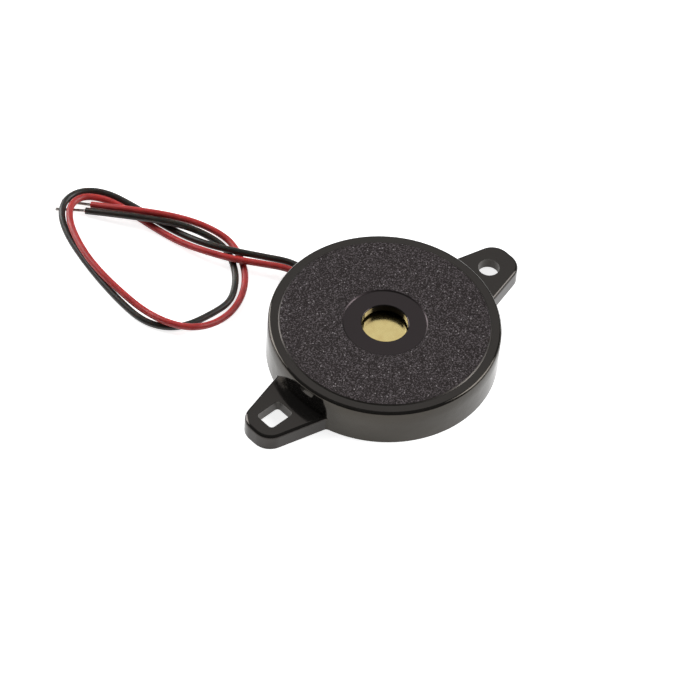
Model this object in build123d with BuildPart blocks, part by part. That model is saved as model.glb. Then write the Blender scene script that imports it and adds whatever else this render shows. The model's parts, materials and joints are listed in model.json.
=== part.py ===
"""Round piezo buzzer, 30 mm across, with two fixing ears and two stripped leads.

Millimetres. Origin at the centre of the case's base, +Z up through the sound hole,
+X along the ears towards the round screw hole, +Y towards the lead notch.
"""
import math
import os

from build123d import *

os.makedirs("parts", exist_ok=True)

# Case: the round shell of the housing moulding
body_diameter = 30.0
body_height = 5.7
wall_thickness = 1.3
top_thickness = 1.0
rim_radius = 0.4

# Spark-eroded face on top, a low land between two plain rings
land_outer_diameter = 27.1
land_inner_diameter = 11.0
land_height = 0.15
land_bevel = 0.15

# Sound hole
sound_hole_diameter = 6.0
sound_hole_edge = 0.15

# Fixing ears at the base, with their length measured out from the case
ear_length = 7.8
ear_thickness = 2.35
ear_root_half_width = 8.3
ear_tip_half_width = 2.48
ear_corner_radius = 2.55
ear_blend_radius = 0.6
ear_edge_radius = 0.45
ear_weld = 0.5

# Recess under each ear, which leaves a thinner plate with a skirt round it
ear_plate_thickness = 1.55
ear_skirt_width = 1.0
ear_recess_corner_radius = 0.4

# Screw holes, one round and one slotted along X, both this far out from the case
hole_setback = 4.0
round_hole_diameter = 2.8
slot_length = 3.8
slot_width = 2.8
slot_corner_radius = 0.5

# Piezo element: brass plate with a ceramic disc and its silver electrode behind it
front_cavity_depth = 0.5
seat_width = 1.5
plate_clearance = 0.2
plate_thickness = 0.25
brass_margin = 3.5
ceramic_thickness = 0.22
electrode_margin = 0.7
electrode_thickness = 0.04

# Silicone bead that seals the plate's rim to the case
bead_width = 1.0
bead_height = 0.8
bead_hollow_radius = 1.4

# Back cover, let into a rebate at the base
cover_thickness = 1.0
cover_rebate = 0.4
cover_clearance = 0.05
cover_chamfer = 0.15

# Leads: thin insulated strand, stripped and tinned at both ends
lead_diameter = 0.9
strand_diameter = 0.38
lead_height = 1.6
lead_clearance = 0.05
notch_width = 3.0
notch_corner_radius = 0.6
floor_height = lead_diameter / 2

# Solder joints, domes on the back of the element
solder_radius = 1.0
solder_height = 0.7
plate_joint_angle = 58.0
electrode_joint_x = -0.8
electrode_joint_inset = 2.0
strand_straight = 1.0
strand_rise = 1.2
strand_climb = 0.175

# Cord bends: each arc takes this share of the shorter run beside its corner
bend_share = 0.45

# Radii closer than this are the same edge or corner
same_radius = 1e-4

# Sizes that follow from the ones above
body_radius = body_diameter / 2
bore_radius = body_radius - wall_thickness
rebate_radius = bore_radius + cover_rebate
cavity_top = body_height - top_thickness
seat_height = cavity_top - front_cavity_depth
plate_radius = bore_radius - plate_clearance
plate_back = seat_height - plate_thickness
ceramic_radius = plate_radius - brass_margin
ceramic_back = plate_back - ceramic_thickness
electrode_radius = ceramic_radius - electrode_margin
electrode_back = ceramic_back - electrode_thickness
land_outer_radius = land_outer_diameter / 2
land_inner_radius = land_inner_diameter / 2
land_top = body_height + land_height
sound_hole_radius = sound_hole_diameter / 2
ear_reach = body_radius + ear_length
ear_recess_depth = ear_thickness - ear_plate_thickness
hole_offset = body_radius + hole_setback
weld_radius = body_radius - ear_weld
notch_top = lead_height + lead_diameter / 2 + lead_clearance
notch_cut = 2 * wall_thickness
tongue_top = lead_height - lead_diameter / 2 - lead_clearance
tongue_width = notch_width - 2 * cover_clearance
tongue_root = bore_radius - wall_thickness

# Outline of the two ears, tapered from a broad root under the case to the rounded tips
EAR_CORNERS = [
    (0, ear_root_half_width),
    (ear_reach, ear_tip_half_width),
    (ear_reach, -ear_tip_half_width),
    (0, -ear_root_half_width),
    (-ear_reach, -ear_tip_half_width),
    (-ear_reach, ear_tip_half_width),
]

# Routes of the leads, from inside the case to where the insulation is stripped.
# Both leave the notch, cross over their own loop, pass under their own far ends,
# turn back over the bare tips and run round the loop on the floor.
BLACK_ROUTE = [
    (0.66, 12.2, lead_height),
    (0.7, 14.6, lead_height),
    (0.73, 17.5, lead_height),
    (-1.7, 21.25, 1.45),
    (-3.9, 24.4, 1.5),
    (-5.6, 27.35, 1.35),
    (-6.4, 30.9, 0.6),
    (-7.0, 34.8, floor_height),
    (-7.4, 39.2, floor_height),
    (-8.9, 43.0, 0.65),
    (-11.3, 45.2, 0.9),
    (-14.1, 45.5, 1.0),
    (-16.6, 44.0, 1.0),
    (-18.2, 41.2, 0.6),
    (-19.0, 37.0, floor_height),
    (-19.9, 32.3, floor_height),
    (-20.5, 27.5, floor_height),
    (-20.4, 23.6, floor_height),
    (-19.1, 20.7, floor_height),
    (-16.4, 19.5, floor_height),
    (-12.6, 18.8, floor_height),
    (-9.2, 18.8, floor_height),
    (-6.4, 20.9, floor_height),
    (-4.7, 23.5, floor_height),
    (-3.45, 26.0, floor_height),
    (-3.8, 28.4, 0.8),
    (-5.25, 31.0, 1.45),
    (-7.6, 33.8, 1.65),
    (-11.15, 38.0, 1.45),
    (-13.65, 42.6, 0.55),
]

RED_ROUTE = [
    (-0.4, 11.8, lead_height),
    (-0.3, 14.3, lead_height),
    (-0.25, 16.9, lead_height),
    (-2.78, 20.65, 1.45),
    (-4.9, 23.25, 1.5),
    (-6.35, 26.45, 1.3),
    (-7.45, 30.1, 0.7),
    (-8.1, 34.0, floor_height),
    (-8.7, 37.8, floor_height),
    (-9.3, 41.1, 0.5),
    (-10.75, 43.1, 0.8),
    (-12.6, 44.15, 1.05),
    (-14.7, 44.0, 1.25),
    (-16.35, 42.5, 1.35),
    (-17.6, 39.9, 1.45),
    (-18.85, 36.3, 1.45),
    (-19.4, 32.6, 1.4),
    (-19.3, 28.8, 1.1),
    (-19.3, 25.0, 0.9),
    (-18.95, 21.3, 1.45),
    (-17.3, 18.3, 1.45),
    (-14.2, 17.0, 0.9),
    (-10.6, 17.1, 0.5),
    (-7.2, 18.6, floor_height),
    (-4.6, 21.1, floor_height),
    (-2.8, 24.3, floor_height),
    (-2.0, 27.4, 0.5),
    (-3.75, 31.1, 1.15),
    (-6.7, 34.9, 1.65),
    (-10.3, 39.1, 1.45),
    (-12.4, 42.7, 0.55),
]

# Bend of the black lead's inner strand, which turns aside to the brass margin
BLACK_TAIL_BEND = (1.6, 9.9, lead_height)

# Ends of the bare tips, down near the floor and past the loop above them
BLACK_TIP_END = (-15.95, 45.4, 0.22)
RED_TIP_END = (-14.4, 46.0, 0.22)


def ends_along_x(corners):
    """Corners at the least and the greatest X."""
    groups = corners.group_by(Axis.X)
    return groups[0] + groups[-1]


def on_case(corners):
    """Corners that lie on the case's outside."""
    return corners.filter_by(
        lambda corner: abs(math.hypot(corner.X, corner.Y) - body_radius) < same_radius
    )


def bend_radii(route):
    """Largest tangent arc that each corner's shorter run allows."""
    points = [Vector(*point) for point in route]
    radii = []
    for before, corner, after in zip(points, points[1:], points[2:]):
        run_in = corner - before
        run_out = after - corner
        half_turn = math.radians(run_in.get_angle(run_out)) / 2
        shorter = min(run_in.length, run_out.length)
        radii.append(bend_share * shorter / math.tan(half_turn))
    return radii


def round_cord(route, diameter, name):
    """Round cord of one diameter along straight runs joined by tangent arcs."""
    radii = bend_radii(route)
    with BuildPart() as cord:
        with BuildLine() as centre:
            FilletPolyline(*route, radius=radii)
        path = centre.wires()[0]
        with BuildSketch(Plane(origin=path @ 0, z_dir=path % 0)):
            Circle(diameter / 2)
        sweep(path=path)
    section = math.pi * diameter**2 / 4
    print(
        f"{name}: length {path.length:.2f}, volume {cord.part.volume:.3f}"
        f" against {section * path.length:.3f}"
    )
    print("   bend radii", [round(radius, 1) for radius in radii])
    return cord.part


def strand_out_of(route):
    """First two points of the bare strand that carries on from a route's first point."""
    start = Vector(*route[0])
    outward = (start - Vector(*route[1])).normalized()
    return [tuple(start), tuple(start + outward * strand_straight)]


def strand_into(joint, before):
    """Last two points of a strand that rises from the point before into its solder joint."""
    level = Vector(joint.X - before[0], joint.Y - before[1], 0).normalized()
    approach = joint - level * strand_rise - Vector(0, 0, strand_climb)
    return [tuple(approach), tuple(joint)]


def solder_dome(base, strand):
    """Cap of a sphere below its base point, formed round the end of its strand."""
    sphere_radius = (solder_radius**2 + solder_height**2) / (2 * solder_height)
    upright = Plane(origin=base, x_dir=(1, 0, 0), z_dir=(0, -1, 0))
    with BuildPart() as dome:
        with BuildSketch(upright):
            with BuildLine():
                Line((0, 0), (solder_radius, 0))
                RadiusArc((solder_radius, 0), (0, -solder_height), sphere_radius)
                Line((0, -solder_height), (0, 0))
            make_face()
        revolve(axis=Axis(base, (0, 0, 1)))
        add(strand, mode=Mode.SUBTRACT)
    return dome.part


# Housing: round case, textured top and both ears in one moulding
with BuildPart() as housing:
    # Base plate with the two ears, joined to the case inside its wall
    with BuildSketch() as ear_outline:
        with BuildLine():
            Polyline(*EAR_CORNERS, close=True)
        make_face()
        fillet(ends_along_x(ear_outline.vertices()), radius=ear_corner_radius)
        Circle(body_radius)
        fillet(on_case(ear_outline.vertices()), radius=ear_blend_radius)
        Circle(weld_radius, mode=Mode.SUBTRACT)
    extrude(amount=ear_thickness)
    top_edges = housing.edges().group_by(Axis.Z)[-1]
    outer_edges = top_edges.filter_by(
        lambda edge: edge.geom_type != GeomType.CIRCLE
        or abs(edge.radius - weld_radius) > same_radius
    )
    fillet(outer_edges, radius=ear_edge_radius)
    with BuildSketch():
        with Locations((hole_offset, 0)):
            Circle(round_hole_diameter / 2)
        with Locations((-hole_offset, 0)):
            RectangleRounded(slot_length, slot_width, slot_corner_radius)
    extrude(amount=ear_thickness, mode=Mode.SUBTRACT)
    # Recess under each ear: the ear's outline drawn in by the skirt and stopped at the case
    with BuildSketch() as ear_recess:
        with BuildLine():
            Polyline(*EAR_CORNERS, close=True)
        make_face()
        fillet(ends_along_x(ear_recess.vertices()), radius=ear_corner_radius)
        offset(amount=-ear_skirt_width)
        Circle(body_radius, mode=Mode.SUBTRACT)
        fillet(on_case(ear_recess.vertices()), radius=ear_recess_corner_radius)
    extrude(amount=ear_recess_depth, mode=Mode.SUBTRACT)
    # Case: a section through wall, seat, top and land, turned about the axis
    with BuildSketch(Plane.XZ):
        with BuildLine():
            Polyline(
                (sound_hole_radius, cavity_top),
                (plate_radius - seat_width, cavity_top),
                (plate_radius - seat_width, seat_height),
                (bore_radius, seat_height),
                (bore_radius, cover_thickness),
                (rebate_radius, cover_thickness),
                (rebate_radius, 0),
                (body_radius, 0),
                (body_radius, body_height),
                (land_outer_radius + land_bevel, body_height),
                (land_outer_radius, land_top),
                (land_inner_radius, land_top),
                (land_inner_radius - land_bevel, body_height),
                (sound_hole_radius, body_height),
                close=True,
            )
        make_face()
    revolve(axis=Axis.Z)
    circles = housing.edges().filter_by(GeomType.CIRCLE)
    at_rim = circles.filter_by_position(Axis.Z, body_height, body_height)
    fillet(
        at_rim.filter_by(lambda edge: abs(edge.radius - body_radius) < same_radius),
        radius=rim_radius,
    )
    fillet(
        at_rim.filter_by(lambda edge: abs(edge.radius - sound_hole_radius) < same_radius),
        radius=sound_hole_edge,
    )
    # Notch for the leads, open at the base
    with BuildSketch(Plane.XZ.offset(-body_radius)) as notch:
        Rectangle(notch_width, notch_top, align=(Align.CENTER, Align.MIN))
        fillet(notch.vertices().group_by(Axis.Y)[-1], radius=notch_corner_radius)
    extrude(amount=notch_cut, both=True, mode=Mode.SUBTRACT)

# Back cover: disc in the rebate, with a tongue that closes the notch below the leads
with BuildPart() as back_cover:
    with BuildSketch():
        Circle(rebate_radius - cover_clearance)
    extrude(amount=cover_thickness)
    chamfer(back_cover.edges().group_by(Axis.Z)[-1], length=cover_chamfer)
    with BuildSketch():
        with Locations((0, tongue_root)):
            Rectangle(tongue_width, body_radius - tongue_root, align=(Align.CENTER, Align.MIN))
        Circle(body_radius, mode=Mode.INTERSECT)
    extrude(amount=tongue_top)

# Brass plate, seated on the shoulder in the case
with BuildPart() as brass_plate:
    with BuildSketch(Plane.XY.offset(plate_back)):
        Circle(plate_radius)
    extrude(amount=plate_thickness)

# Piezo ceramic disc on the back of the plate
with BuildPart() as piezo_ceramic:
    with BuildSketch(Plane.XY.offset(ceramic_back)):
        Circle(ceramic_radius)
    extrude(amount=ceramic_thickness)

# Silver electrode, a little smaller than the ceramic that carries it
with BuildPart() as silver_electrode:
    with BuildSketch(Plane.XY.offset(electrode_back)):
        Circle(electrode_radius)
    extrude(amount=electrode_thickness)

# Silicone bead round the plate's rim, with a hollow face as a finger leaves it
with BuildPart() as silicone_bead:
    with BuildSketch(Plane.XZ):
        with BuildLine():
            Polyline(
                (bore_radius - bead_width, plate_back),
                (plate_radius, plate_back),
                (plate_radius, seat_height),
                (bore_radius, seat_height),
                (bore_radius, plate_back - bead_height),
            )
            RadiusArc(
                (bore_radius, plate_back - bead_height),
                (bore_radius - bead_width, plate_back),
                bead_hollow_radius,
            )
        make_face()
    revolve(axis=Axis.Z)

# Leads, insulation and strand as one
black_lead = round_cord(BLACK_ROUTE, lead_diameter, "black_lead")
red_lead = round_cord(RED_ROUTE, lead_diameter, "red_lead")

# Bare outer tips of the strands
black_tip_route = [*strand_out_of(BLACK_ROUTE[::-1]), BLACK_TIP_END]
red_tip_route = [*strand_out_of(RED_ROUTE[::-1]), RED_TIP_END]
black_lead_tip = round_cord(black_tip_route, strand_diameter, "black_lead_tip")
red_lead_tip = round_cord(red_tip_route, strand_diameter, "red_lead_tip")

# Inner strands and solder joints: black to the brass margin, red to the electrode
joint_reach = (ceramic_radius + bore_radius - bead_width) / 2
joint_angle = math.radians(plate_joint_angle)
plate_joint = Vector(
    joint_reach * math.cos(joint_angle), joint_reach * math.sin(joint_angle), plate_back
)
electrode_joint = Vector(
    electrode_joint_x, electrode_radius - electrode_joint_inset, electrode_back
)
half_dome = Vector(0, 0, solder_height / 2)
black_tail_start = [*strand_out_of(BLACK_ROUTE), BLACK_TAIL_BEND]
black_tail_route = black_tail_start + strand_into(plate_joint - half_dome, BLACK_TAIL_BEND)
red_tail_start = strand_out_of(RED_ROUTE)
red_tail_route = red_tail_start + strand_into(electrode_joint - half_dome, red_tail_start[-1])
black_lead_tail = round_cord(black_tail_route, strand_diameter, "black_lead_tail")
red_lead_tail = round_cord(red_tail_route, strand_diameter, "red_lead_tail")
plate_solder = solder_dome(plate_joint, black_lead_tail)
electrode_solder = solder_dome(electrode_joint, red_lead_tail)

pieces = {
    "housing": housing.part,
    "back_cover": back_cover.part,
    "brass_plate": brass_plate.part,
    "piezo_ceramic": piezo_ceramic.part,
    "silver_electrode": silver_electrode.part,
    "silicone_bead": silicone_bead.part,
    "plate_solder": plate_solder,
    "electrode_solder": electrode_solder,
    "black_lead": black_lead,
    "red_lead": red_lead,
    "black_lead_tip": black_lead_tip,
    "red_lead_tip": red_lead_tip,
    "black_lead_tail": black_lead_tail,
    "red_lead_tail": red_lead_tail,
}
for name, piece in pieces.items():
    piece.label = name
    export_step(piece, f"parts/{name}.step")
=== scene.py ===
"""Looks of a thin round piezo buzzer: finishes, smooth shading, two free leads and their bare ends.

Metres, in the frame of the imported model: origin at the centre of the case's base,
+Z up through the sound hole, +X towards the round screw hole, +Y towards the lead notch.
"""
import json
import math

import bmesh
import bpy
import numpy as np
from mathutils import Matrix, Vector


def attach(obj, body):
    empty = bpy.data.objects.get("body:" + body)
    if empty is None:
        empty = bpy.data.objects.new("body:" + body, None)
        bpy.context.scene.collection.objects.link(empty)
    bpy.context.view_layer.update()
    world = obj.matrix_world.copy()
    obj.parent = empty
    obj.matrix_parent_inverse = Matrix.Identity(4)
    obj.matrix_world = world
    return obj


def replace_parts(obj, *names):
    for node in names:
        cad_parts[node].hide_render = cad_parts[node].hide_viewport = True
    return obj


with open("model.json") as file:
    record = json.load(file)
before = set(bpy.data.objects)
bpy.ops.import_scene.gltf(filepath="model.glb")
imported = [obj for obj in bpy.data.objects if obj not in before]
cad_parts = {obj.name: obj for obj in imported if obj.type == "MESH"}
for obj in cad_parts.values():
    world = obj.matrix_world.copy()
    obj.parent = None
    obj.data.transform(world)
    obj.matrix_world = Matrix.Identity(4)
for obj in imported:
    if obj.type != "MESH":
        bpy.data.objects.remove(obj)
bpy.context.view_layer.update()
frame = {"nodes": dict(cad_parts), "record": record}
nodes = frame["nodes"]

MM = 0.001

# Camera, fitted to the outlines of case, land, sound hole and ears in a frame of 700 pixels
CAMERA_PLACE = Vector((-330.694, -297.839, 527.732)) * MM
CAMERA_TARGET = Vector((-2.925, 2.933, -0.055)) * MM
CAMERA_ROLL = 0.0932594684
FOCAL_PIXELS = 5365.088
FRAME_PIXELS = 700
SENSOR_WIDTH = 36.0

# Housing: points closer than the first distance are joined, slivers thinner than the second go,
# and edges that turn by more degrees than the angle stay crisp
JOIN_DISTANCE = 0.001 * MM
SLIVER_WIDTH = 0.0001 * MM
SHARP_ANGLE = 30

# Edges on the moulding that its finish follows, as a distance from the centre line or a height,
# each with half the width of its soft step
LAND_OUTSIDE = (13.54 * MM, 0.02 * MM)
LAND_INSIDE = (5.51 * MM, 0.02 * MM)
LAND_LEVEL = (5.805 * MM, 0.015 * MM)
RING_LEVEL = (5.71 * MM, 0.005 * MM)
THROAT = (3.035 * MM, 0.015 * MM)
SCREW_HOLE = (1.42 * MM, 0.01 * MM)
EAR_LEVEL = (2.33 * MM, 0.01 * MM)
EAR_SIDE_LEVEL = (2.1 * MM, 0.05 * MM)
WALL_INSIDE = (14.775 * MM, 0.175 * MM)
WALL_OUTSIDE = (15.175 * MM, 0.125 * MM)
LEAN_INSIDE = (11.0 * MM, 1.0 * MM)

# Centre of each screw hole from the case's, and the slot's run to either side of its own
SCREW_REACH = 19.0 * MM
SLOT_RUN = 0.5 * MM

# Heights between which the wall leans in
LEAN_START = 3.4 * MM
LEAN_END = 5.5 * MM

# Pitch of the printing screen's weave in the silver film
WEAVE_PITCH = 0.09 * MM

# Leads
LEAD_DIAMETER = 0.9 * MM

# Bare ends: a strand of one wire along its line and six wound round it, straight on at first, with
# the wires' turn from end to end in radians
STRAND_DIAMETER = 0.38 * MM
STRAND_STRAIGHT = 1.0 * MM
WIRES_ROUND = 6
WIRE_RADIUS = STRAND_DIAMETER / 6
WIRE_TWIST = 1.6 * math.pi
WIRE_STEPS = 48
WIRE_SIDES = 12

# Stage: half the floor's side in metres, and how bright floor and surroundings shine
FLOOR_REACH = 3.0
FLOOR_GLOW = 0.82
WORLD_GLOW = 0.08

# Height of a lead's middle where it lies on the floor, in millimetres like the routes
ON_FLOOR = 0.45

# Routes of the leads in millimetres, from inside the case to where they are stripped. The first three
# points of each are the part's own. The rest are the part's, moved by up to 0.6 by a fit of the drawn
# leads to the photograph and rounded to 0.05, and four of the red lead's were then changed
BLACK_ROUTE = [
    (0.66, 12.2, 1.6),
    (0.7, 14.6, 1.6),
    (0.73, 17.5, 1.6),
    (-1.8, 21.25, 1.45),
    (-4.05, 24.4, 1.5),
    (-5.7, 27.4, 1.35),
    (-6.5, 30.95, 0.6),
    (-7.3, 34.7, ON_FLOOR),
    (-7.95, 38.95, ON_FLOOR),
    (-9.15, 42.9, 0.65),
    (-11.4, 45.1, 0.9),
    (-14.05, 45.45, 1.0),
    (-16.4, 43.95, 1.0),
    (-17.85, 41.1, 0.6),
    (-18.95, 36.95, ON_FLOOR),
    (-19.8, 32.25, ON_FLOOR),
    (-20.3, 27.5, ON_FLOOR),
    (-20.25, 23.6, ON_FLOOR),
    (-18.8, 20.8, ON_FLOOR),
    (-16.35, 19.25, ON_FLOOR),
    (-12.6, 18.65, ON_FLOOR),
    (-9.35, 18.6, ON_FLOOR),
    (-6.4, 20.8, ON_FLOOR),
    (-4.65, 23.3, ON_FLOOR),
    (-3.7, 25.8, ON_FLOOR),
    (-4.1, 28.2, 0.8),
    (-5.45, 30.9, 1.45),
    (-7.5, 33.9, 1.65),
    (-10.7, 38.15, 1.45),
    (-13.35, 42.4, 0.55),
]
RED_ROUTE = [
    (-0.4, 11.8, 1.6),
    (-0.3, 14.3, 1.6),
    (-0.25, 16.9, 1.6),
    (-2.85, 20.6, 1.45),
    (-4.95, 23.25, 1.5),
    (-6.5, 26.4, 1.3),
    (-7.65, 30.0, 0.7),
    (-8.35, 33.85, ON_FLOOR),
    (-8.9, 37.7, ON_FLOOR),
    (-9.5, 41.05, 0.5),
    (-10.85, 43.15, 0.8),
    (-12.5, 44.3, 1.05),
    (-14.55, 44.05, 1.25),
    (-16.3, 42.4, 1.35),
    (-17.7, 39.8, 1.45),
    (-18.9, 36.2, 1.45),
    (-19.5, 32.4, 1.45),
    (-19.5, 28.65, 1.15),
    (-19.3, 25.0, 0.9),
    (-18.9, 21.35, 1.45),
    (-17.25, 18.35, 1.45),
    (-14.2, 17.0, 0.9),
    (-10.6, 17.1, 0.5),
    (-7.2, 18.55, ON_FLOOR),
    (-4.55, 21.0, ON_FLOOR),
    (-2.95, 24.1, ON_FLOOR),
    (-2.35, 27.2, 0.5),
    (-3.9, 31.05, 1.15),
    (-6.7, 34.85, 1.65),
    (-10.1, 39.15, 1.45),
    (-12.1, 42.7, 0.55),
]
BLACK_TIP_END = (-15.95, 45.4, 0.22)
RED_TIP_END = (-14.4, 45.95, 0.22)


def make_camera():
    """Perspective camera turned about its own line of sight by the fitted roll."""
    data = bpy.data.cameras.new("view")
    data.sensor_width = SENSOR_WIDTH
    data.lens = SENSOR_WIDTH * FOCAL_PIXELS / FRAME_PIXELS
    data.clip_start = 0.01
    data.clip_end = 20.0
    camera = bpy.data.objects.new("view", data)
    bpy.context.scene.collection.objects.link(camera)
    ahead = (CAMERA_TARGET - CAMERA_PLACE).normalized()
    level = ahead.cross(Vector((0, 0, 1))).normalized()
    upright = level.cross(ahead)
    right = level * math.cos(CAMERA_ROLL) + upright * math.sin(CAMERA_ROLL)
    up = upright * math.cos(CAMERA_ROLL) - level * math.sin(CAMERA_ROLL)
    turn = Matrix((right, up, -ahead)).transposed().to_4x4()
    camera.matrix_world = Matrix.Translation(CAMERA_PLACE) @ turn
    bpy.context.scene.camera = camera


make_camera()


class Finish:
    """Material made of nodes. Most methods add nodes and give back the last one's output."""

    def __init__(self, name):
        self.material = bpy.data.materials.new(name)
        self.material.use_nodes = True
        self.tree = self.material.node_tree
        self.shader = self.tree.nodes["Principled BSDF"]
        self.place = self.add("TexCoord", {}).outputs["Object"]

    def add(self, kind, inputs, **settings):
        """A node of one kind, with its settings, and a value or another output on each input."""
        node = self.tree.nodes.new("ShaderNode" + kind)
        for key, value in settings.items():
            setattr(node, key, value)
        for key, value in inputs.items():
            if isinstance(value, bpy.types.NodeSocket):
                self.tree.links.new(value, node.inputs[key])
            else:
                node.inputs[key].default_value = value
        return node

    def noise(self, size, detail=2.0, rough=0.5, place=None):
        """Cloudy noise whose patches are about size metres across, from 0 to 1."""
        inputs = {
            "Vector": place or self.place,
            "Scale": 1 / size,
            "Detail": detail,
            "Roughness": rough,
        }
        return self.add("TexNoise", inputs).outputs["Fac"]

    def cells(self, size):
        """Distance to the nearest of scattered points about size metres apart."""
        inputs = {"Vector": self.place, "Scale": 1 / size}
        return self.add("TexVoronoi", inputs).outputs["Distance"]

    def math(self, operation, first, second=0.0):
        """One sum on two values, whose inputs go by number because they share a name."""
        return self.add("Math", {0: first, 1: second}, operation=operation).outputs["Value"]

    def both(self, first, second):
        """Two values multiplied, so that a mask cuts a relief or another mask."""
        return self.math("MULTIPLY", first, second)

    def spread(self, value, low, high, to_low=0.0, to_high=1.0):
        """A value carried from one range to another and held at its ends."""
        inputs = {
            "Value": value,
            "From Min": low,
            "From Max": high,
            "To Min": to_low,
            "To Max": to_high,
        }
        return self.add("MapRange", inputs).outputs["Result"]

    def beyond(self, value, edge):
        """1 where a value is past an edge and 0 where it is short of it, with a soft step between."""
        middle, soft = edge
        return self.spread(value, middle - soft, middle + soft)

    def within(self, value, edge):
        """1 where a value is short of an edge and 0 where it is past it, with a soft step between."""
        middle, soft = edge
        return self.spread(value, middle + soft, middle - soft)

    def blend(self, share, first, second):
        """Two colours mixed by a share from 0 to 1."""
        inputs = {"Factor": share, "A": first, "B": second}
        return self.add("Mix", inputs, data_type="RGBA").outputs["Result"]

    def choose(self, share, first, second):
        """Two values mixed by a share from 0 to 1."""
        inputs = {"Factor": share, "A": first, "B": second}
        return self.add("Mix", inputs, data_type="FLOAT").outputs["Result"]

    def stretched(self, scale, start=(0, 0, 0)):
        """The place, stretched along each axis and then moved."""
        inputs = {"Vector": self.place, "Scale": scale, "Location": start}
        return self.add("Mapping", inputs).outputs["Vector"]

    def axis(self, letter):
        """One coordinate of the place."""
        return self.add("SeparateXYZ", {"Vector": self.place}).outputs[letter]

    def reach(self, x=0.0):
        """Distance from the upright line that crosses the X axis at x."""
        flat = self.stretched((1, 1, 0), (-x, 0, 0))
        return self.add("VectorMath", {"Vector": flat}, operation="LENGTH").outputs["Value"]

    def bump(self, height, depth, below=None):
        """Surface relief that rises by depth metres from height 0 to height 1, on top of that below."""
        inputs = {"Height": height, "Distance": depth, "Strength": 1.0}
        if below:
            inputs["Normal"] = below
        return self.add("Bump", inputs).outputs["Normal"]

    def wear(self, **sockets):
        """Sets the shader's sockets to values or to nodes' outputs, and gives back the material."""
        for key, value in sockets.items():
            socket = self.shader.inputs[key.replace("_", " ")]
            if isinstance(value, bpy.types.NodeSocket):
                self.tree.links.new(value, socket)
            else:
                socket.default_value = value
        return self.material


def grey(level, warmth=0.0):
    """A near neutral colour."""
    return (level * (1 + warmth), level, level * (1 - warmth), 1.0)


def case_finish():
    """Glossy black moulding, spark-eroded on its raised land, which carries painted glints, and duller
    on the walls of its holes, whose light grey colour is painted light.
    """
    finish = Finish("case_abs")
    reach = finish.reach()
    height = finish.axis("Z")
    face = finish.both(finish.within(reach, LAND_OUTSIDE), finish.beyond(reach, LAND_INSIDE))
    land = finish.both(face, finish.beyond(height, LAND_LEVEL))
    bevel = finish.beyond(height, RING_LEVEL)
    centre = finish.within(reach, LAND_INSIDE)
    throat = finish.within(reach, THROAT)
    wall = finish.both(finish.beyond(reach, WALL_INSIDE), finish.within(reach, WALL_OUTSIDE))
    ear_side = finish.both(finish.beyond(reach, WALL_OUTSIDE), finish.within(height, EAR_SIDE_LEVEL))

    # Walls of the slot and of the round screw hole, below the tops of the ears
    along = finish.math("ABSOLUTE", finish.math("ADD", finish.axis("X"), SCREW_REACH))
    across = finish.math("ABSOLUTE", finish.axis("Y"))
    slot = finish.math("MAXIMUM", finish.math("SUBTRACT", along, SLOT_RUN), across)
    hole = finish.math("MINIMUM", slot, finish.reach(SCREW_REACH))
    cored = finish.both(finish.within(hole, SCREW_HOLE), finish.within(height, EAR_LEVEL))

    grain = finish.noise(0.2 * MM, 3.0, 0.8)
    speck = finish.spread(grain, 0.50, 0.68)
    # Points for painted glints: where sparkle off the eroded texture is painted into the land's colour
    painted_glint = finish.spread(finish.cells(0.7 * MM), 0.14, 0.08)
    plain = finish.blend(finish.noise(6 * MM, 2.0), grey(0.009, 0.06), grey(0.013, 0.06))
    # Painted light: a light grey on the walls of the slot and the round screw hole stands in for the
    # light they catch
    plain = finish.blend(cored, plain, grey(0.17, 0.05))
    cloud = finish.noise(1.1 * MM, 3.0)
    brown = finish.blend(cloud, (0.160, 0.136, 0.144, 1), (0.200, 0.178, 0.198, 1))
    eroded = finish.blend(speck, (0.009, 0.006, 0.007, 1), brown)
    # Painted glints: pale grey points mixed into the land's colour
    eroded = finish.blend(painted_glint, eroded, (0.40, 0.37, 0.38, 1))
    colour = finish.blend(land, plain, eroded)

    smooth = finish.spread(finish.noise(1.5 * MM, 3.0), 0.3, 0.7, 0.07, 0.13)
    smooth = finish.choose(bevel, smooth, 0.34)
    matt = finish.spread(grain, 0.35, 0.65, 0.65, 0.45)
    rough = finish.choose(cored, finish.choose(land, smooth, matt), 0.4)

    shine = finish.choose(land, finish.choose(bevel, 0.5, 0.95), finish.choose(speck, 0.28, 0.64))
    shine = finish.choose(throat, shine, 0.2)
    shine = finish.choose(ear_side, shine, 0.38)
    tint = finish.blend(wall, (1.0, 0.90, 0.83, 1), (1.0, 0.90, 0.76, 1))
    tint = finish.blend(centre, tint, (0.80, 0.63, 0.68, 1))

    # The wall is faintly wavy and leans in towards its top by the square of the climb
    wave = finish.math("SUBTRACT", finish.noise(1.8 * MM, 1.0), 0.5)
    climb = finish.spread(height, LEAN_START, LEAN_END)
    lean = finish.math("SUBTRACT", 1.0, finish.math("MULTIPLY", climb, climb))
    relief = finish.bump(finish.noise(3.5 * MM, 2.0), 0.01 * MM)
    relief = finish.bump(finish.both(grain, land), 0.09 * MM, relief)
    relief = finish.bump(finish.both(wave, wall), 0.03 * MM, relief)
    relief = finish.bump(finish.both(lean, finish.beyond(reach, LEAN_INSIDE)), 0.2 * MM, relief)
    return finish.wear(Base_Color=colour, Roughness=rough, Normal=relief, Specular_IOR_Level=shine,
                       IOR=1.54, Specular_Tint=tint)


def cover_finish():
    """Satin black moulding."""
    finish = Finish("cover_abs")
    grain = finish.noise(0.12 * MM, 3.0)
    colour = finish.blend(finish.noise(4 * MM), grey(0.014), grey(0.022))
    rough = finish.spread(grain, 0.3, 0.7, 0.38, 0.5)
    relief = finish.bump(grain, 0.008 * MM)
    return finish.wear(Base_Color=colour, Roughness=rough, Normal=relief)


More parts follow.
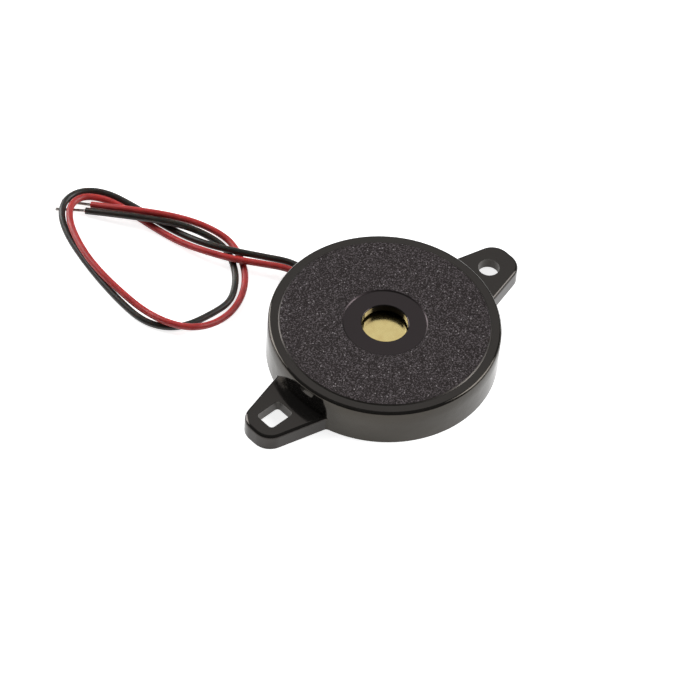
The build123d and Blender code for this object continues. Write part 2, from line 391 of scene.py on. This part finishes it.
def brass_finish():
    """Rolled brass sheet with fine lines along X and faint clouds of tarnish."""
    finish = Finish("brass")
    lines = finish.noise(0.05 * MM, 2.0, 0.6, finish.stretched((0.03, 1, 1)))
    cloud = finish.noise(1.4 * MM, 3.0)
    clean = (0.96, 0.79, 0.35, 1)
    dull = (0.86, 0.66, 0.28, 1)
    colour = finish.blend(finish.spread(cloud, 0.45, 0.75), clean, dull)
    rough = finish.spread(lines, 0.3, 0.7, 0.14, 0.22)
    relief = finish.bump(lines, 0.001 * MM)
    return finish.wear(Base_Color=colour, Metallic=1.0, Roughness=rough, Normal=relief)


def ceramic_finish():
    """Matt fired ceramic with a fine pale grain."""
    finish = Finish("piezo_ceramic")
    grain = finish.noise(0.08 * MM, 3.0, 0.7)
    colour = finish.blend(grain, (0.55, 0.50, 0.38, 1), (0.70, 0.66, 0.54, 1))
    relief = finish.bump(grain, 0.006 * MM)
    return finish.wear(Base_Color=colour, Roughness=0.6, Normal=relief)


def silver_finish():
    """Fired silver film with the weave of its printing screen."""
    finish = Finish("silver")
    turns = 2 * math.pi / WEAVE_PITCH
    along = finish.math("SINE", finish.math("MULTIPLY", finish.axis("X"), turns))
    across = finish.math("SINE", finish.math("MULTIPLY", finish.axis("Y"), turns))
    weave = finish.math("MULTIPLY", along, across)
    cloud = finish.noise(2 * MM, 3.0)
    colour = finish.blend(cloud, (0.80, 0.79, 0.76, 1), (0.66, 0.64, 0.58, 1))
    relief = finish.bump(weave, 0.002 * MM)
    rough = finish.spread(cloud, 0.3, 0.7, 0.42, 0.55)
    return finish.wear(Base_Color=colour, Metallic=1.0, Roughness=rough, Normal=relief)


def silicone_finish():
    """Soft milky silicone."""
    finish = Finish("silicone")
    ripple = finish.noise(0.6 * MM, 2.0)
    colour = finish.blend(ripple, (0.74, 0.74, 0.72, 1), (0.84, 0.84, 0.82, 1))
    relief = finish.bump(ripple, 0.04 * MM)
    return finish.wear(Base_Color=colour, Roughness=0.28, Normal=relief, Subsurface_Weight=0.2,
                       Subsurface_Scale=0.0004)


def solder_finish():
    """Bright solder, a little wrinkled as it froze."""
    finish = Finish("solder")
    wrinkle = finish.noise(0.35 * MM, 3.0, 0.6)
    colour = finish.blend(wrinkle, grey(0.62, 0.01), grey(0.8, 0.01))
    rough = finish.spread(wrinkle, 0.3, 0.7, 0.14, 0.3)
    relief = finish.bump(wrinkle, 0.02 * MM)
    return finish.wear(Base_Color=colour, Metallic=1.0, Roughness=rough, Normal=relief)


def sheath_finish(name, dark, light, roughness):
    """Extruded soft vinyl with faint drag and handling marks."""
    finish = Finish(name)
    cloud = finish.noise(1.3 * MM, 3.0)
    fine = finish.noise(0.14 * MM, 2.0)
    colour = finish.blend(finish.spread(cloud, 0.3, 0.7), dark, light)
    rough = finish.spread(fine, 0.3, 0.7, roughness - 0.05, roughness + 0.07)
    relief = finish.bump(fine, 0.004 * MM, finish.bump(cloud, 0.03 * MM))
    return finish.wear(Base_Color=colour, Roughness=rough, Normal=relief, Subsurface_Weight=0.7,
                       Subsurface_Scale=0.0007)


def tinned_finish():
    """Tinned copper wire, dull in patches, with a trace of copper."""
    finish = Finish("tinned_copper")
    cloud = finish.noise(0.3 * MM, 3.0)
    colour = finish.blend(finish.spread(cloud, 0.5, 0.8), grey(0.42, 0.05), (0.36, 0.24, 0.17, 1))
    rough = finish.spread(cloud, 0.3, 0.7, 0.28, 0.42)
    relief = finish.bump(finish.noise(0.06 * MM), 0.003 * MM)
    return finish.wear(Base_Color=colour, Metallic=1.0, Roughness=rough, Normal=relief)


finishes = {
    "case_abs": case_finish(),
    "cover_abs": cover_finish(),
    "brass": brass_finish(),
    "piezo_ceramic": ceramic_finish(),
    "silver": silver_finish(),
    "silicone": silicone_finish(),
    "solder": solder_finish(),
    "pvc_black": sheath_finish("pvc_black", (0.019, 0.016, 0.012, 1), (0.034, 0.028, 0.022, 1), 0.38),
    "pvc_red": sheath_finish("pvc_red", (0.43, 0.036, 0.036, 1), (0.55, 0.055, 0.052, 1), 0.40),
    "tinned_copper": tinned_finish(),
}


def tip_line(route, end):
    """Points of a quadratic curve from the route's end, straight on at first, to the strand's end.

    The point at t is (1 - t) squared * start + 2 * t * (1 - t) * middle + t squared * last.
    """
    start = np.array(route[-1]) * MM
    ahead = start - np.array(route[-2]) * MM
    middle = start + ahead / np.linalg.norm(ahead) * STRAND_STRAIGHT
    last = np.array(end) * MM
    t = np.linspace(0, 1, WIRE_STEPS)[:, None]
    return (1 - t) ** 2 * start + 2 * t * (1 - t) * middle + t**2 * last


def bare_tip(name, route, end):
    """Seven tinned wires: six wound round the strand's line and one along it.

    Wire w at the angle a(s) = w * 60 degrees + twist * s lies at line(s) + lay * (n cos a + b sin a),
    where n and b stand across the line. Each wire is a circle carried along its own line.
    """
    line = tip_line(route, end)
    ahead = np.gradient(line, axis=0)
    ahead /= np.linalg.norm(ahead, axis=1)[:, None]
    across = np.cross(ahead, [0, 0, 1.0])
    across /= np.linalg.norm(across, axis=1)[:, None]
    over = np.cross(across, ahead)
    run = np.linspace(0, 1, WIRE_STEPS)[:, None]
    turn = np.linspace(0, 2 * math.pi, WIRE_SIDES, endpoint=False)
    ring = across[:, None] * np.cos(turn)[:, None] + over[:, None] * np.sin(turn)[:, None]

    # Faces of one tube: four corners between two rows of points, and a cap on each end
    row = np.arange(WIRE_STEPS - 1)[:, None] * WIRE_SIDES
    side = np.arange(WIRE_SIDES)[None]
    after = (side + 1) % WIRE_SIDES
    above = row + WIRE_SIDES
    quads = np.stack([row + side, row + after, above + after, above + side], -1).reshape(-1, 4)
    first_cap = np.arange(WIRE_SIDES)[::-1]
    last_cap = np.arange(WIRE_SIDES) + (WIRE_STEPS - 1) * WIRE_SIDES

    points = []
    faces = []
    for number in range(WIRES_ROUND + 1):
        lay = 2 * WIRE_RADIUS if number < WIRES_ROUND else 0.0
        angle = number * 2 * math.pi / WIRES_ROUND + WIRE_TWIST * run
        centre = line + lay * (across * np.cos(angle) + over * np.sin(angle))
        base = len(points) * WIRE_STEPS * WIRE_SIDES
        points.append((centre[:, None] + WIRE_RADIUS * ring).reshape(-1, 3))
        faces += (quads + base).tolist()
        faces.append((first_cap + base).tolist())
        faces.append((last_cap + base).tolist())
    mesh = bpy.data.meshes.new(name)
    mesh.from_pydata(np.concatenate(points).tolist(), [], faces)
    mesh.shade_smooth()
    return add_piece(name, mesh, "tinned_copper")


def add_piece(name, data, slot):
    """Puts a mesh or a curve into the scene, on the body, with the finish of its slot."""
    piece = bpy.data.objects.new(name, data)
    bpy.context.scene.collection.objects.link(piece)
    piece.data.materials.append(finishes[slot])
    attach(piece, "root")
    return piece


def add_lead(name, route, slot):
    """Round cord along one smooth curve that takes the route's points as its control points."""
    curve = bpy.data.curves.new(name, "CURVE")
    curve.dimensions = "3D"
    curve.resolution_u = 16
    curve.bevel_depth = LEAD_DIAMETER / 2
    curve.bevel_resolution = 8
    curve.use_fill_caps = True
    spline = curve.splines.new("NURBS")
    spline.points.add(len(route) - 1)
    for point, place in zip(spline.points, route):
        point.co = (*(Vector(place) * MM), 1.0)
    spline.order_u = 3
    spline.use_endpoint_u = True
    lead = add_piece(name + "_sheath", curve, slot)
    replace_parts(lead, name)


black_tip = bare_tip("black_tip_wires", BLACK_ROUTE, BLACK_TIP_END)
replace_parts(black_tip, "black_lead_tip")
red_tip = bare_tip("red_tip_wires", RED_ROUTE, RED_TIP_END)
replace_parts(red_tip, "red_lead_tip")
add_lead("black_lead", BLACK_ROUTE, "pvc_black")
add_lead("red_lead", RED_ROUTE, "pvc_red")


def corner_normals(mesh):
    """Normal of each triangle corner: the mean of the faces round it that turn little from its own.

    At the corner of face f the normal is the sum over the faces g at that point of area(g) * n(g),
    taken where the angle between n(f) and n(g) is under SHARP_ANGLE.
    """
    count = len(mesh.loops)
    point = np.empty(count, dtype=np.int32)
    mesh.loops.foreach_get("vertex_index", point)
    place = np.empty(len(mesh.vertices) * 3)
    mesh.vertices.foreach_get("co", place)
    corner = place.reshape(-1, 3)[point].reshape(-1, 3, 3)
    facing = np.cross(corner[:, 1] - corner[:, 0], corner[:, 2] - corner[:, 0])
    area = np.linalg.norm(facing, axis=1)
    facing /= area[:, None]
    shared = np.bincount(point)
    first = np.repeat(np.arange(count), shared[point])
    step = np.arange(len(first)) - np.repeat(np.cumsum(shared[point]) - shared[point], shared[point])
    start = np.cumsum(shared) - shared
    second = np.argsort(point, kind="stable")[start[point[first]] + step]
    own, other = first // 3, second // 3
    near = np.einsum("ij,ij->i", facing[own], facing[other]) > math.cos(math.radians(SHARP_ANGLE))
    share = (area[other] * near)[:, None] * facing[other]
    normal = np.stack([np.bincount(first, share[:, k], count) for k in range(3)], axis=1)
    return normal / np.linalg.norm(normal, axis=1)[:, None]


def smooth_copy(name, slot):
    """Copy of a CAD node with its corners joined, whose rounded edges shade as smooth curves."""
    mesh = nodes[name].data.copy()
    mesh.materials.clear()
    edit = bmesh.new()
    edit.from_mesh(mesh)
    bmesh.ops.remove_doubles(edit, verts=edit.verts, dist=JOIN_DISTANCE)
    bmesh.ops.dissolve_degenerate(edit, edges=edit.edges, dist=SLIVER_WIDTH)
    edit.to_mesh(mesh)
    edit.free()
    mesh.shade_smooth()
    mesh.normals_split_custom_set(corner_normals(mesh).tolist())
    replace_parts(add_piece(name + "_moulding", mesh, slot), name)


smooth_copy("housing", "case_abs")

# Finish of every CAD node, those that a piece stands for among them
for entry in frame["record"]["subparts"]:
    node = nodes[entry["node"]]
    node.data.materials.clear()
    node.data.materials.append(finishes[entry["material_slot"]])


def make_floor():
    """Pale floor that shows white to the camera and in gloss, and keeps a soft shadow."""
    mesh = bpy.data.meshes.new("floor")
    side = FLOOR_REACH
    corners = [(-side, -side, 0), (side, -side, 0), (side, side, 0), (-side, side, 0)]
    mesh.from_pydata(corners, [], [(0, 1, 2, 3)])
    floor = bpy.data.objects.new("floor", mesh)
    bpy.context.scene.collection.objects.link(floor)
    finish = Finish("floor")
    rays = finish.add("LightPath", {})
    seen = finish.math("MAXIMUM", rays.outputs["Is Camera Ray"], rays.outputs["Is Glossy Ray"])
    seen = finish.math("MAXIMUM", seen, rays.outputs["Is Transmission Ray"])
    finish.wear(Base_Color=grey(0.88), Roughness=0.9, Specular_IOR_Level=0.0,
                Emission_Color=grey(1.0), Emission_Strength=finish.math("MULTIPLY", seen, FLOOR_GLOW))
    mesh.materials.append(finish.material)


def make_world():
    """Plain dim surroundings, white to the camera."""
    world = bpy.data.worlds.new("surroundings")
    world.use_nodes = True
    tree = world.node_tree
    background = tree.nodes["Background"]
    rays = tree.nodes.new("ShaderNodeLightPath")
    level = tree.nodes.new("ShaderNodeMapRange")
    level.inputs["To Min"].default_value = WORLD_GLOW
    level.inputs["To Max"].default_value = 1.0
    tree.links.new(rays.outputs["Is Camera Ray"], level.inputs["Value"])
    tree.links.new(level.outputs["Result"], background.inputs["Strength"])
    background.inputs["Color"].default_value = grey(1.0)
    bpy.context.scene.world = world


def add_panel(name, bearing, rise, away, width, height, radiance):
    """Soft rectangular lamp that faces the object from a bearing and a rise in degrees."""
    across = math.cos(math.radians(rise))
    place = Vector((
        away * across * math.cos(math.radians(bearing)),
        away * across * math.sin(math.radians(bearing)),
        away * math.sin(math.radians(rise)),
    ))
    data = bpy.data.lights.new(name, "AREA")
    data.shape = "RECTANGLE"
    data.size = width
    data.size_y = height
    data.energy = radiance * math.pi * width * height
    lamp = bpy.data.objects.new(name, data)
    bpy.context.scene.collection.objects.link(lamp)
    lamp.location = place
    lamp.rotation_euler = (-place).to_track_quat("-Z", "Y").to_euler()


make_floor()
make_world()
add_panel("left_panel", bearing=99, rise=29, away=1.2, width=0.6, height=0.95, radiance=6.5)
add_panel("right_panel", bearing=322, rise=36, away=1.2, width=0.7, height=0.8, radiance=6.0)
add_panel("far_panel", bearing=42.5, rise=50, away=1.6, width=1.4, height=0.9, radiance=0.57)

bpy.context.scene.view_settings.view_transform = "Standard"
